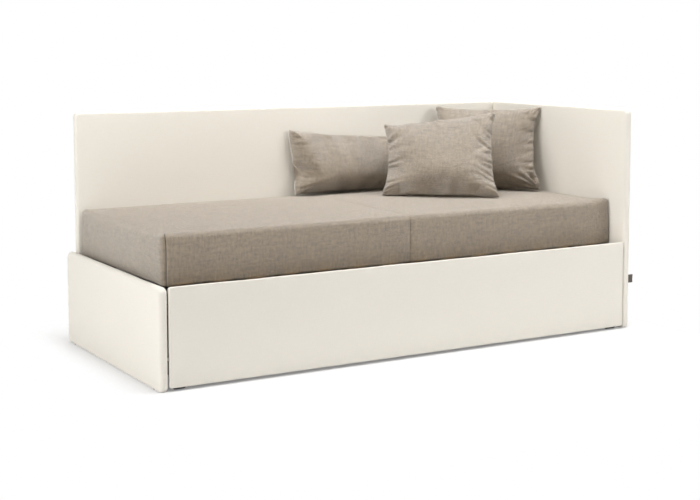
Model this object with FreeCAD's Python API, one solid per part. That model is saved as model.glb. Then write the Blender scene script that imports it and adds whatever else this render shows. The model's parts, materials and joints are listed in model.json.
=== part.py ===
"""Single sofa bed: a tall padded corner backrest round a mattress, over a second bed that pulls out.

Millimetres. +Z is up, +X runs to the headboard and +Y to the back panel. The origin lies on the floor
at the middle of the footprint.
"""
import FreeCAD, Part
import math
import os

V = FreeCAD.Vector

# Overall size
overall_length = 2090.0
overall_depth = 940.0
backrest_height = 908.0
base_height = 360.0

# Padded panels
board_thickness = 18.0
padding = 8.0
panel_corner_radius = 18.0
panel_edge_radius = 12.0
panel_joint_gap = 0.8
end_panel_floor_gap = 5.0
front_panel_floor_gap = 12.0
front_panel_side_gap = 3.0

# Floor glides under the standing panels
glide_radius = 12.0
glide_stem_radius = 4.0
glide_stem_length = 24.0
end_glide_spacing = 800.0
back_glide_spacing = 800.0
back_glide_count = 3

# Upper mattress
mattress_height = 190.0
mattress_top = 532.0
mattress_head_gap = 6.0
mattress_foot_gap = 16.0
mattress_back_gap = 3.0
mattress_front_gap = 54.0
mattress_corner_radius = 30.0
mattress_edge_radius = 22.0
mattress_cover_thickness = 12.0

# Slatted bases, upper and lower
rail_width = 30.0
base_rail_height = 40.0
pull_out_rail_height = 30.0
rail_wall = 2.0
slat_count = 14
slat_width = 68.0
slat_thickness = 10.0
slat_end_margin = 90.0
slat_clearance = 0.3
cradle_floor = 4.0
cradle_wall = 3.0
peg_radius = 3.0
peg_length = 6.0
base_end_gap = 8.0
base_back_gap = 10.0
base_front_gap = 24.0

# Steel brackets that carry the upper base and tie the panels
bracket_thickness = 3.0
rail_bracket_width = 40.0
rail_bracket_drop = 45.0
rail_bracket_ledge = 36.0
rail_bracket_screw_drop = 29.0
rail_bracket_screw_pitch = 20.0
back_bracket_spacing = 1000.0
corner_bracket_leg = 38.0
corner_bracket_height = 50.0
corner_bracket_bottom = 100.0
corner_bracket_pitch = 80.0
corner_bracket_screw_reach = 23.0
corner_bracket_screw_pitch = 25.0

# Screws and bolts
screw_radius = 2.5
screw_head_radius = 5.0
screw_head_height = 2.5
screw_bite = 13.0
bolt_radius = 4.0
bolt_head_radius = 7.0
bolt_head_height = 5.0
bolt_reach = 12.0
hole_clearance = 0.2

# Pull-out bed
pull_out_side_gap = 21.0
pull_out_back_gap = 50.0
pull_out_mattress_end_gap = 20.0
pull_out_mattress_front_gap = 10.0
pull_out_mattress_rear_gap = 22.0
pull_out_mattress_top_gap = 47.0

# Flat bars that hold the front panel to the pull-out frame
upright_thickness = 4.0
upright_width = 40.0
upright_top = 230.0
upright_spacing = 700.0
upright_screw_margin = 25.0
upright_screw_pitch = 80.0

# Castors
castor_radius = 20.0
castor_width = 40.0
castor_edge_radius = 3.0
castor_hub_recess = 3.0
castor_hub_radius = 8.0
castor_rim_radius = 14.0
castor_inset = 27.0
castor_front_clearance = 2.0
castor_side_clearance = 1.0
castor_top_clearance = 4.0
castor_plate = 3.0
castor_plate_front = 14.0
castor_bolt_spacing = 24.0
castor_notch_clearance = 4.0
axle_radius = 4.0
axle_head_radius = 6.0
axle_head_height = 2.0
axle_boss_radius = 9.0
running_clearance = 0.05

# Guide channels on the end panels and the shoes that run in them
channel_height = 24.0
channel_depth = 14.0
channel_wall = 2.0
channel_front_gap = 29.0
channel_screw_count = 3
shoe_length = 50.0
shoe_clearance = 0.5
shoe_tip_gap = 2.0
shoe_stop_gap = 1.0
shoe_screw_spacing = 26.0

# Sewn tab on the headboard's outer face
tab_reach = 16.0
tab_thickness = 2.0
tab_height = 34.0
tab_bottom = 186.0
tab_setback = 14.0

# Pillows: seam width along the seat, height of each side, and how far each upper corner flares outwards
soft_clearance = 0.3
pillow_side_pull = 10.0
lumbar_width = 560.0
lumbar_left_height = 267.0
lumbar_right_height = 262.0
lumbar_left_flare = 15.0
lumbar_right_flare = 5.0
lumbar_from_headboard = 1060.0
lumbar_from_back = 34.0
lumbar_yaw = 0.0
lumbar_lean = 4.0
lumbar_front_swell = 84.0
lumbar_back_swell = 12.0
front_pillow_width = 503.0
front_pillow_left_height = 320.0
front_pillow_right_height = 392.0
front_pillow_left_flare = 1.0
front_pillow_right_flare = -29.0
front_pillow_ahead = 234.5
front_pillow_aside = 194.0
front_pillow_yaw = -39.0
front_pillow_lean = 28.0
corner_pillow_width = 479.0
corner_pillow_height = 363.0
corner_pillow_left_flare = 11.0
corner_pillow_right_flare = -20.0
corner_pillow_from_headboard = 378.0
corner_pillow_from_back = 76.0
corner_pillow_yaw = -45.4
corner_pillow_lean = 10.0
square_pillow_swell = 72.0

# A pillow's dome: share of the seam's outline, and of the swell, from the seam to the crown
pillow_profile = ((1.0, 0.0), (0.93, 0.38), (0.8, 0.72), (0.6, 0.93), (0.4, 1.0))

# How far out of line an edge may lie and still count as straight or flat
straightness = 1e-6

# Places worked out from the sizes above
panel_thickness = board_thickness + 2 * padding
end_x = overall_length / 2
front_y = -overall_depth / 2
back_y = overall_depth / 2
end_face_x = end_x - panel_thickness
back_face_y = back_y - panel_thickness
panel_back_y = front_y + panel_thickness

mattress_bottom = mattress_top - mattress_height
mattress_head_x = end_face_x - mattress_head_gap
mattress_foot_x = -end_face_x + mattress_foot_gap
mattress_back_y = back_face_y - mattress_back_gap
mattress_front_y = panel_back_y + mattress_front_gap
slat_stack = cradle_floor + slat_thickness
base_rail_bottom = mattress_bottom - slat_stack - base_rail_height
base_end_x = end_face_x - base_end_gap
base_front_y = panel_back_y + base_front_gap
base_rear_y = back_face_y - base_back_gap

pull_out_end_x = end_face_x - pull_out_side_gap
pull_out_front_y = panel_back_y + upright_thickness
pull_out_rear_y = back_face_y - pull_out_back_gap
castor_plate_bottom = 2 * castor_radius + castor_top_clearance
pull_out_rail_bottom = castor_plate_bottom + castor_plate
pull_out_rail_top = pull_out_rail_bottom + pull_out_rail_height
pull_out_mattress_bottom = pull_out_rail_top + slat_stack
pull_out_mattress_top = base_rail_bottom - pull_out_mattress_top_gap
castor_x = pull_out_end_x - castor_inset
front_axle_y = front_y + padding + castor_front_clearance + castor_radius
castor_lead = pull_out_front_y + rail_width / 2 - front_axle_y
castor_axle_ys = {
    "front": front_axle_y,
    "rear": pull_out_rear_y - rail_width / 2 - castor_lead,
}
castor_bracket_half = castor_width / 2 + castor_side_clearance + castor_plate
guide_z = pull_out_rail_bottom + pull_out_rail_height / 2
shoe_rear_y = pull_out_rear_y
shoe_front_y = shoe_rear_y - shoe_length
channel_front_y = panel_back_y + channel_front_gap
channel_rear_y = shoe_rear_y + shoe_stop_gap + channel_wall
pillow_corner = V(end_face_x, back_face_y, mattress_top)


def block(x, y, z):
    """Box between pairs of limits along X, Y and Z."""
    return Part.makeBox(x[1] - x[0], y[1] - y[0], z[1] - z[0], V(x[0], y[0], z[0]))


def around(middle, size):
    """Pair of limits centred on a place."""
    return (middle - size / 2, middle + size / 2)


def spread(count, spacing):
    """Evenly spaced places centred on zero."""
    return [(i - (count - 1) / 2) * spacing for i in range(count)]


def mirrored(shape):
    """The same piece at the foot end."""
    return shape.mirror(V(0, 0, 0), V(1, 0, 0))


def flat_rims(shape, axis):
    """Edges that lie in a plane square to an axis: 0 for X, 1 for Y, 2 for Z."""
    found = []
    for edge in shape.Edges:
        box = edge.BoundBox
        if (box.XLength, box.YLength, box.ZLength)[axis] < straightness:
            found.append(edge)
    return found


def long_edges(shape, axis):
    """Straight edges parallel to an axis."""
    found = []
    for edge in shape.Edges:
        box = edge.BoundBox
        lengths = [box.XLength, box.YLength, box.ZLength]
        along = lengths.pop(axis)
        if along > straightness and max(lengths) < straightness:
            found.append(edge)
    return found


def cushioned_block(x, y, z, thin, corner_radius, edge_radius):
    """Box with rounded corners in its plane and softer rounded rims on its two faces."""
    limits = (x, y, z)
    thickness = limits[thin][1] - limits[thin][0]
    body = block(x, y, z)
    body = body.makeFillet(corner_radius, long_edges(body, thin))
    return body.makeFillet(min(edge_radius, 0.45 * thickness), flat_rims(body, thin))


def inset(limits, margin):
    """Limits drawn in by a margin on both sides."""
    return (limits[0] + margin, limits[1] - margin)


def drilled(shape, drills):
    """Shape with every drill that reaches it cut away."""
    near = [d for d in drills if d.BoundBox.intersect(shape.BoundBox)]
    return shape.cut(near) if near else shape


def screw(seat, direction, length, radius, head_radius, head_height):
    """Pan-head fastener: shank along direction from its seat, head the other way."""
    shank = Part.makeCylinder(radius, length, seat, direction)
    head = Part.makeCylinder(head_radius, head_height, seat, direction * -1)
    return shank.fuse(head)


def drill(seat, direction, length, radius):
    """Hole for a fastener, a little wider and deeper than its shank."""
    return Part.makeCylinder(radius + hole_clearance, length + hole_clearance, seat, direction)


def tube(x, y, z, along):
    """Rectangular steel tube, open at both ends along an axis."""
    limits = [x, y, z]
    inner = [limits[i] if i == along else inset(limits[i], rail_wall) for i in range(3)]
    return block(*limits).cut(block(*inner))


# Upholstered panels
def padded_panel(x, y, z, thin):
    """Board and the padded cover drawn over it."""
    outer = cushioned_block(x, y, z, thin, panel_corner_radius, panel_edge_radius)
    board = block(inset(x, padding), inset(y, padding), inset(z, padding))
    return board, outer.cut(board)


def glides(places):
    """Floor glides with a stem driven up into the board."""
    made = []
    for x, y in places:
        disc = Part.makeCylinder(glide_radius, end_panel_floor_gap, V(x, y, 0))
        stem = Part.makeCylinder(glide_stem_radius, glide_stem_length, V(x, y, end_panel_floor_gap))
        made.append(disc.fuse(stem))
    return made


def glide_drills(places):
    foot = V(0, 0, end_panel_floor_gap)
    return [drill(V(x, y, 0) + foot, V(0, 0, 1), glide_stem_length, glide_stem_radius) for x, y in places]


# Brackets, each drawn against a panel face at x = 0 and then turned into place
def turned(shape, place, degrees):
    copy = shape.copy()
    copy.Placement = FreeCAD.Placement(place, FreeCAD.Rotation(V(0, 0, 1), degrees))
    return copy


def panel_screw_length():
    return bracket_thickness + padding + screw_bite


def bracket_screws(seats):
    """Screws and their drills for (seat, direction) pairs."""
    length = panel_screw_length()
    made = [screw(s, d, length, screw_radius, screw_head_radius, screw_head_height) for s, d in seats]
    holes = [drill(s, d, length, screw_radius) for s, d in seats]
    return made, holes


def rail_bracket():
    """Angle whose upper ledge carries a rail, with its screws, its bolt and their holes."""
    half = rail_bracket_width / 2
    leg = block((-bracket_thickness, 0), (-half, half), (-rail_bracket_drop, 0))
    ledge = block((-rail_bracket_ledge, 0), (-half, half), (-bracket_thickness, 0))
    seats = [(V(-bracket_thickness, y, -rail_bracket_screw_drop), V(1, 0, 0))
             for y in spread(2, rail_bracket_screw_pitch)]
    screws, screw_holes = bracket_screws(seats)
    bolt_seat = V(-(base_end_gap + rail_width / 2), 0, -bracket_thickness)
    bolt = screw(bolt_seat, V(0, 0, 1), bolt_reach, bolt_radius, bolt_head_radius, bolt_head_height)
    bolt_hole = drill(bolt_seat, V(0, 0, 1), bolt_reach, bolt_radius)
    plate = leg.fuse(ledge).removeSplitter().cut(screw_holes + [bolt_hole])
    return {"plate": [plate], "screws": screws, "screw_holes": screw_holes, "bolt": [bolt], "bolt_hole": [bolt_hole]}


def corner_bracket():
    """Angle in the corner of two panels, with two screws in each leg and their holes."""
    leg = corner_bracket_leg
    rise = corner_bracket_height
    plate = block((-bracket_thickness, 0), (-leg, 0), (0, rise))
    plate = plate.fuse(block((-leg, 0), (-bracket_thickness, 0), (0, rise))).removeSplitter()
    seats = []
    for level in spread(2, corner_bracket_screw_pitch):
        z = rise / 2 + level
        seats.append((V(-bracket_thickness, -corner_bracket_screw_reach, z), V(1, 0, 0)))
        seats.append((V(-corner_bracket_screw_reach, -bracket_thickness, z), V(0, 1, 0)))
    screws, holes = bracket_screws(seats)
    return {"plate": [plate.cut(holes)], "screws": screws, "screw_holes": holes}


def set_out(kit, places):
    """A bracket kit repeated at (place, degrees) pairs, gathered by kind of piece."""
    placed = {}
    for kind, shapes in kit.items():
        placed[kind] = [turned(s, place, degrees) for place, degrees in places for s in shapes]
    return placed


# Slatted bases
def cradle(x, rail_y, top, outward):
    """Open plastic cradle on a rail: floor, two cheeks, an end stop and a peg into the rail."""
    half = slat_width / 2 + slat_clearance
    outer = half + cradle_wall
    body = block((x - outer, x + outer), around(rail_y, rail_width), (top, top + slat_stack))
    y_in = rail_y - outward * rail_width / 2
    y_stop = rail_y + outward * (rail_width / 2 - cradle_wall)
    pocket = block((x - half, x + half), tuple(sorted((y_in, y_stop))), (top + cradle_floor, top + slat_stack))
    peg = Part.makeCylinder(peg_radius, peg_length, V(x, rail_y, top), V(0, 0, -1))
    return body.cut(pocket).fuse(peg)


def slatted_base(end, front, rear, bottom, height, drills):
    """Four welded tubes with slats across, inside the given outer limits."""
    top = bottom + height
    levels = (bottom, top)
    front_rail_y = front + rail_width / 2
    rear_rail_y = rear - rail_width / 2
    inner_end = end - rail_width
    pitch = (2 * end - 2 * slat_end_margin) / (slat_count - 1)
    slat_xs = spread(slat_count, pitch)
    pegs = [drill(V(x, y, top), V(0, 0, -1), peg_length, peg_radius)
            for x in slat_xs for y in (front_rail_y, rear_rail_y)]
    cuts = drills + pegs
    head_rail = tube((inner_end, end), (front, rear), levels, 1)
    slat_reach = inset((front, rear), cradle_wall + slat_clearance)
    slat_levels = (top + cradle_floor, top + slat_stack)
    cradles = [cradle(x, front_rail_y, top, -1) for x in slat_xs]
    cradles += [cradle(x, rear_rail_y, top, 1) for x in slat_xs]
    return {
        "front_rail": [drilled(tube((-inner_end, inner_end), (front, front + rail_width), levels, 0), cuts)],
        "rear_rail": [drilled(tube((-inner_end, inner_end), (rear - rail_width, rear), levels, 0), cuts)],
        "foot_rail": [drilled(mirrored(head_rail), cuts)],
        "head_rail": [drilled(head_rail, cuts)],
        "slats": [block(around(x, slat_width), slat_reach, slat_levels) for x in slat_xs],
        "slat_cradles": cradles,
    }


# Mattresses
def mattress(x, y, z):
    """Block of filling and the sewn cover round it."""
    outer = cushioned_block(x, y, z, 2, mattress_corner_radius, mattress_edge_radius)
    wall = mattress_cover_thickness
    corner = max(mattress_corner_radius - wall, wall / 2)
    edge = max(mattress_edge_radius - wall, wall / 2)
    core = cushioned_block(inset(x, wall), inset(y, wall), inset(z, wall), 2, corner, edge)
    return core, outer.cut(core)


# Pillows
def facing(yaw):
    """Directions along a pillow's width and back through it."""
    turn = math.radians(yaw)
    return V(math.cos(turn), math.sin(turn), 0), V(-math.sin(turn), math.cos(turn), 0)


def seam_corners(width, left_height, right_height, left_flare, right_flare):
    """Corners of a pillow's seam along its width and up its height, bottom left first."""
    return ((0, 0), (width, 0), (width + right_flare, right_height), (-left_flare, left_height))


def pillow(corners, place, yaw, lean, front_swell, back_swell):
    """Sewn pillow: two domes that meet at a seam with drawn-in sides, standing on the seat."""
    along, backward = facing(yaw)
    tilt = math.radians(lean)
    rise = V(0, 0, math.cos(tilt)) + backward * math.sin(tilt)
    forward = along.cross(rise)
    seam = [place + along * u + rise * v for u, v in corners]
    middle = (seam[0] + seam[1] + seam[2] + seam[3]) * 0.25

    def ring(share, lift):
        """Seam outline shrunk about its middle and lifted off the seam's plane."""
        points = [middle + (p - middle) * share + forward * lift for p in seam]
        sides = []
        for i in range(4):
            a = points[i]
            b = points[(i + 1) % 4]
            half_way = (a + b) * 0.5
            inward = (middle + forward * lift - half_way).normalize()
            sides.append(Part.Arc(a, half_way + inward * pillow_side_pull * share, b).toShape())
        return Part.Wire(sides)

    domes = [Part.makeLoft([ring(s, h * swell) for s, h in pillow_profile], True)
             for swell in (front_swell, -back_swell)]
    whole = domes[0].fuse(domes[1])
    seat = mattress_top + soft_clearance
    below = block((-end_x, end_x), (front_y, back_y), (0, seat))
    return whole.cut(below)


# Castors
def castor_bracket(x, axle_y):
    """Plate under the frame with two cheeks that hold the axle."""
    rail_rear = axle_y + castor_lead + rail_width / 2
    plate_y = (axle_y - castor_plate_front, rail_rear)
    top = pull_out_rail_bottom
    body = block(around(x, 2 * castor_bracket_half), plate_y, (castor_plate_bottom, top))
    for side in (-1, 1):
        face_x = x + side * castor_bracket_half - (castor_plate if side > 0 else 0)
        outline = [
            V(face_x, plate_y[0], castor_plate_bottom),
            V(face_x, plate_y[1], castor_plate_bottom),
            V(face_x, axle_y + axle_boss_radius, castor_radius),
            V(face_x, axle_y - axle_boss_radius, castor_radius),
        ]
        cheek = Part.Face(Part.makePolygon(outline + outline[:1])).extrude(V(castor_plate, 0, 0))
        boss = Part.makeCylinder(axle_boss_radius, castor_plate, V(face_x, axle_y, castor_radius), V(1, 0, 0))
        body = body.fuse(cheek.fuse(boss))
    hole = Part.makeCylinder(axle_radius + running_clearance, 2 * castor_bracket_half,
                             V(x - castor_bracket_half, axle_y, castor_radius), V(1, 0, 0))
    return drilled(body.removeSplitter().cut(hole), castor_bolt_drills(x, axle_y))


def castor_bolt_seats(x, axle_y):
    return [V(x + dx, axle_y + castor_lead, castor_plate_bottom) for dx in spread(2, castor_bolt_spacing)]


def castor_bolt_drills(x, axle_y):
    return [drill(s, V(0, 0, 1), bolt_reach, screw_radius) for s in castor_bolt_seats(x, axle_y)]


def castor_bolts(x, axle_y):
    return [screw(s, V(0, 0, 1), bolt_reach, screw_radius, screw_head_radius, screw_head_height)
            for s in castor_bolt_seats(x, axle_y)]


def castor_axle(x, axle_y):
    """Headed pin through both cheeks."""
    start = V(x - castor_bracket_half, axle_y, castor_radius)
    pin = Part.makeCylinder(axle_radius, 2 * castor_bracket_half, start, V(1, 0, 0))
    near_head = Part.makeCylinder(axle_head_radius, axle_head_height, start, V(-1, 0, 0))
    end = start + V(2 * castor_bracket_half, 0, 0)
    far_head = Part.makeCylinder(axle_head_radius, axle_head_height, end, V(1, 0, 0))
    return pin.fuse([near_head, far_head])


def castor_wheel(x, axle_y):
    """Broad roller with rounded rims, a dished hub on each side and a running bore."""
    start = V(x - castor_width / 2, axle_y, castor_radius)
    wheel = Part.makeCylinder(castor_radius, castor_width, start, V(1, 0, 0))
    wheel = wheel.makeFillet(castor_edge_radius, flat_rims(wheel, 0))
    bore = Part.makeCylinder(axle_radius + running_clearance, castor_width, start, V(1, 0, 0))
    dishes = []
    for offset in (0, castor_width - castor_hub_recess):
        at = start + V(offset, 0, 0)
        ring = Part.makeCylinder(castor_rim_radius, castor_hub_recess, at, V(1, 0, 0))
        dishes.append(ring.cut(Part.makeCylinder(castor_hub_radius, castor_hub_recess, at, V(1, 0, 0))))
    return wheel.cut([bore] + dishes)


def castor_notches():
    """Cut-outs in the front panel's lower edge for the front castors."""
    half = castor_bracket_half + axle_head_height + castor_notch_clearance
    y = (front_y + padding, panel_back_y + padding)
    z = (front_panel_floor_gap - padding, pull_out_rail_bottom + castor_notch_clearance)
    return [block((x - half, x + half), y, z) for x in (-castor_x, castor_x)]


# Guide channels and shoes
def channel_screw_seats():
    pitch = (channel_rear_y - channel_front_y) / channel_screw_count
    middle = (channel_front_y + channel_rear_y) / 2
    return [V(end_face_x - channel_wall, middle + y, guide_z) for y in spread(channel_screw_count, pitch)]


def channel_screws():
    """Countersunk screws, flush with the channel's inner face."""
    made = []
    holes = []
    length = channel_wall + padding + screw_bite
    for seat in channel_screw_seats():
        head = Part.makeCone(screw_head_radius, screw_radius, channel_wall, seat, V(1, 0, 0))
        made.append(Part.makeCylinder(screw_radius, length, seat, V(1, 0, 0)).fuse(head))
        sink = Part.makeCone(screw_head_radius + hole_clearance, screw_radius + hole_clearance, channel_wall,
                             seat, V(1, 0, 0))
        holes.append(drill(seat, V(1, 0, 0), length, screw_radius).fuse(sink))
    return made, holes


def guide_channel(holes):
    """C-section on the headboard's inner face, open towards the bed and closed at both ends of the travel."""
    y = (channel_front_y, channel_rear_y)
    z = around(guide_z, channel_height)
    body = block((end_face_x - channel_depth, end_face_x), y, z)
    slot = block((end_face_x - channel_depth, end_face_x - channel_wall), inset(y, channel_wall),
                 inset(z, channel_wall))
    return body.cut(slot).cut(holes)


def shoe_screw_seats():
    middle = (shoe_front_y + shoe_rear_y) / 2
    seat_x = end_face_x - channel_wall - shoe_tip_gap - 2 * screw_head_height
    return [V(seat_x, middle + y, guide_z) for y in spread(2, shoe_screw_spacing)]


def shoe_screw_length():
    return shoe_screw_seats()[0].x - pull_out_end_x + bolt_reach / 2


def guide_shoe():
    """Nylon block on the frame's end, with sunk screw heads, that runs in the channel."""
    height = channel_height - 2 * channel_wall - 2 * shoe_clearance
    body = block((pull_out_end_x, end_face_x - channel_wall - shoe_tip_gap), (shoe_front_y, shoe_rear_y),
                 around(guide_z, height))
    for seat in shoe_screw_seats():
        sink = Part.makeCylinder(screw_head_radius + hole_clearance, channel_depth, seat, V(1, 0, 0))
        body = body.cut([sink, drill(seat, V(-1, 0, 0), shoe_screw_length(), screw_radius)])
    return body


def shoe_screws():
    return [screw(s, V(-1, 0, 0), shoe_screw_length(), screw_radius, screw_head_radius, screw_head_height)
            for s in shoe_screw_seats()]


# Front panel's flat bars
def upright_seats():
    y = panel_back_y + upright_thickness
    upper = upright_top - upright_screw_margin
    return [V(x, y, z) for x in spread(3, upright_spacing) for z in (upper - upright_screw_pitch, upper)]


def upright_screw_length():
    return upright_thickness + padding + screw_bite


def build():
    """Every node of the sofa bed, by name, as a list of solids."""
    nodes = {}
    both_ends = {"foot": mirrored, "head": lambda shape: shape}

    # Brackets and their fasteners come first, because the panels and rails are drilled for them
    rail_ys = (base_front_y + rail_width / 2, base_rear_y - rail_width / 2)
    kit = rail_bracket()
    head_set = set_out(kit, [(V(end_face_x, y, base_rail_bottom), 0) for y in rail_ys])
    foot_set = set_out(kit, [(V(-end_face_x, y, base_rail_bottom), 180) for y in rail_ys])
    back_set = set_out(kit, [(V(x, back_face_y, base_rail_bottom), 90) for x in spread(2, back_bracket_spacing)])
    nodes["head_rail_brackets"] = head_set["plate"]
    nodes["foot_rail_brackets"] = foot_set["plate"]
    nodes["back_rail_brackets"] = back_set["plate"]
    rail_sets = (foot_set, head_set, back_set)
    nodes["rail_bracket_screws"] = [s for placed in rail_sets for s in placed["screws"]]
    nodes["rail_bolts"] = [s for placed in rail_sets for s in placed["bolt"]]
    rail_bolt_holes = [s for placed in rail_sets for s in placed["bolt_hole"]]

    corner = corner_bracket()
    levels = (corner_bracket_bottom, corner_bracket_bottom + corner_bracket_pitch)
    head_corner = set_out(corner, [(V(end_face_x, back_face_y, z), 0) for z in levels])
    foot_corner = set_out(corner, [(V(-end_face_x, back_face_y, z), 90) for z in levels])
    nodes["head_corner_brackets"] = head_corner["plate"]
    nodes["foot_corner_brackets"] = foot_corner["plate"]
    nodes["corner_bracket_screws"] = foot_corner["screws"] + head_corner["screws"]

    sunk_screws, sunk_holes = channel_screws()
    channel = guide_channel(sunk_holes)
    nodes["guide_channel_screws"] = sunk_screws + [mirrored(s) for s in sunk_screws]
    for end, place in both_ends.items():
        nodes["guide_channel_" + end] = [place(channel)]

    panel_drills = [h for placed in rail_sets + (foot_corner, head_corner) for h in placed["screw_holes"]]
    panel_drills += sunk_holes + [mirrored(h) for h in sunk_holes]

    # Standing panels and their glides
    glide_x = end_x - panel_thickness / 2
    end_glide_ys = spread(2, end_glide_spacing)
    glide_places = {
        "foot_panel": [(-glide_x, y) for y in end_glide_ys],
        "headboard": [(glide_x, y) for y in end_glide_ys],
        "back_panel": [(x, back_y - panel_thickness / 2) for x in spread(back_glide_count, back_glide_spacing)],
    }
    between = (-end_face_x + panel_joint_gap, end_face_x - panel_joint_gap)
    panel_limits = {
        "foot_panel": ((-end_x, -end_face_x), (front_y, back_y), (end_panel_floor_gap, base_height), 0),
        "headboard": ((end_face_x, end_x), (front_y, back_y), (end_panel_floor_gap, backrest_height), 0),
        "back_panel": (between, (back_face_y, back_y), (end_panel_floor_gap, backrest_height), 1),
    }
    for name, limits in panel_limits.items():
        board, cover = padded_panel(*limits)
        cuts = panel_drills + glide_drills(glide_places[name])
        nodes[name + "_board"] = [drilled(board, cuts)]
        nodes[name + "_cover"] = [drilled(cover, cuts)]
        nodes[name + "_glides"] = glides(glide_places[name])

    tab_y = front_y + tab_setback
    nodes["label_tab"] = [block((end_x, end_x + tab_reach), (tab_y, tab_y + tab_thickness),
                                (tab_bottom, tab_bottom + tab_height))]

    # Upper base and mattress
    base = slatted_base(base_end_x, base_front_y, base_rear_y, base_rail_bottom, base_rail_height, rail_bolt_holes)
    for piece, shapes in base.items():
        nodes["base_" + piece] = shapes
    core, cover = mattress((mattress_foot_x, mattress_head_x), (mattress_front_y, mattress_back_y),
                           (mattress_bottom, mattress_top))
    nodes["mattress_core"] = [core]
    nodes["mattress_cover"] = [cover]

    # Pillows, placed from the corner of the headboard and the back panel
    lumbar_place = pillow_corner - V(lumbar_from_headboard, lumbar_from_back, 0)
    corners = seam_corners(lumbar_width, lumbar_left_height, lumbar_right_height,
                           lumbar_left_flare, lumbar_right_flare)
    nodes["lumbar_pillow"] = [pillow(corners, lumbar_place, lumbar_yaw, lumbar_lean,
                                     lumbar_front_swell, lumbar_back_swell)]
    corner_place = pillow_corner - V(corner_pillow_from_headboard, corner_pillow_from_back, 0)
    corners = seam_corners(corner_pillow_width, corner_pillow_height, corner_pillow_height,
                           corner_pillow_left_flare, corner_pillow_right_flare)
    nodes["corner_pillow"] = [pillow(corners, corner_place, corner_pillow_yaw,
                                     corner_pillow_lean, square_pillow_swell, square_pillow_swell)]
    along, backward = facing(front_pillow_yaw)
    ahead = front_pillow_ahead + 2 * square_pillow_swell
    front_place = corner_place - along * front_pillow_aside - backward * ahead
    corners = seam_corners(front_pillow_width, front_pillow_left_height, front_pillow_right_height,
                           front_pillow_left_flare, front_pillow_right_flare)
    nodes["front_pillow"] = [pillow(corners, front_place, front_pillow_yaw,
                                    front_pillow_lean, square_pillow_swell, square_pillow_swell)]

    # Pull-out bed
    castor_places = {}
    for row, axle_y in castor_axle_ys.items():
        castor_places[row + "_foot"] = (-castor_x, axle_y)
        castor_places[row + "_head"] = (castor_x, axle_y)
    castor_drills = [d for place in castor_places.values() for d in castor_bolt_drills(*place)]
    shoe_drills = [drill(s, V(-1, 0, 0), shoe_screw_length(), screw_radius) for s in shoe_screw_seats()]
    shoe_drills += [mirrored(d) for d in shoe_drills]
    lower = slatted_base(pull_out_end_x, pull_out_front_y, pull_out_rear_y, pull_out_rail_bottom,
                         pull_out_rail_height, castor_drills + shoe_drills)
    for piece, shapes in lower.items():
        nodes["pull_out_" + piece] = shapes
    nodes["shoe_screws"] = shoe_screws() + [mirrored(s) for s in shoe_screws()]
    for end, place in both_ends.items():
        nodes["guide_shoe_" + end] = [place(guide_shoe())]

    front_seats = upright_seats()
    front_length = upright_screw_length()
    inward = V(0, -1, 0)
    front_drills = [drill(s, inward, front_length, screw_radius) for s in front_seats]
    front_half = end_face_x - front_panel_side_gap
    board, cover = padded_panel((-front_half, front_half), (front_y, panel_back_y),
                                (front_panel_floor_gap, base_height), 1)
    front_cuts = front_drills + castor_notches()
    nodes["front_panel_board"] = [drilled(board, front_cuts)]
    nodes["front_panel_cover"] = [drilled(cover, front_cuts)]
    nodes["front_panel_uprights"] = [
        drilled(block(around(x, upright_width), (panel_back_y, panel_back_y + upright_thickness),
                      (pull_out_rail_bottom, upright_top)), front_drills)
        for x in spread(3, upright_spacing)]
    nodes["upright_screws"] = [
        screw(s, inward, front_length, screw_radius, screw_head_radius, screw_head_height) for s in front_seats]

    mattress_front = panel_back_y + pull_out_mattress_front_gap
    half_length = pull_out_end_x - pull_out_mattress_end_gap
    core, cover = mattress((-half_length, half_length),
                           (mattress_front, pull_out_rear_y - pull_out_mattress_rear_gap),
                           (pull_out_mattress_bottom, pull_out_mattress_top))
    nodes["pull_out_mattress_core"] = [core]
    nodes["pull_out_mattress_cover"] = [cover]

    for place, at in castor_places.items():
        nodes[place + "_castor_bracket"] = [castor_bracket(*at)]
        nodes[place + "_castor_wheel"] = [castor_wheel(*at)]
    nodes["castor_axles"] = [castor_axle(*at) for at in castor_places.values()]
    nodes["castor_bolts"] = [bolt for at in castor_places.values() for bolt in castor_bolts(*at)]
    return nodes


def main():
    os.makedirs("parts", exist_ok=True)
    for name, shapes in build().items():
        whole = shapes[0] if len(shapes) == 1 else Part.makeCompound(shapes)
        whole.exportStep("parts/" + name + ".step")


main()
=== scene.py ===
"""Looks of the sofa bed: padded panels, mattresses, pillows and finishes round its frame, in metres."""
import json
import math
import random

import bmesh
import bpy
import numpy as np
from mathutils import Matrix, Vector, noise


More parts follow.
